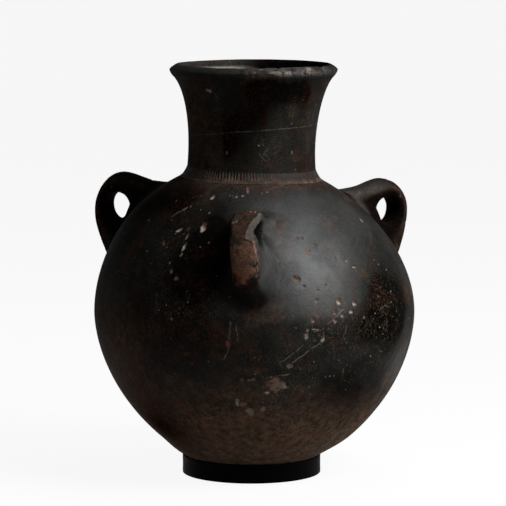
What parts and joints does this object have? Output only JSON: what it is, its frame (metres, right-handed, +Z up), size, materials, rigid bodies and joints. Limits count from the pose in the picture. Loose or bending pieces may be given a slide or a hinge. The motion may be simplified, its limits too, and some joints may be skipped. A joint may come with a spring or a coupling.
{
  "type": "lugged earthenware jar on a ring stand",
  "caption": "Black burnished globular jar with a tall flared neck, a notched band at the neck root and upright strap lugs on the shoulder, standing in a loose display ring.",
  "frame": {"origin": "bottom centre of the bounding box, on the surface that the ring stands on", "axes": "+Z up along the jar, -Y towards the lug that faces the camera, +X to the right of the picture"},
  "size_m": [0.282, 0.2917, 0.3581],
  "materials": {
    "burnished_clay": "burnished, smoked black, satin",
    "worn_clay": "worn, brown, matt",
    "ring_paint": "satin black paint"
  },
  "bodies": {
    "ring": {"ring_stand": "ring_paint"},
    "jar": {"lower_bowl": "burnished_clay", "shoulder": "burnished_clay", "neck": "burnished_clay", "rim_coil": "burnished_clay", "neck_fillet": "burnished_clay", "front_lug": "worn_clay", "left_lug": "burnished_clay", "right_lug": "burnished_clay"}
  },
  "joints": [
    {"name": "jar_lift", "type": "slide", "parent": "ring", "child": "jar", "axis": [0, 0, 1], "range_m": [0, 0.08]}
  ]
}
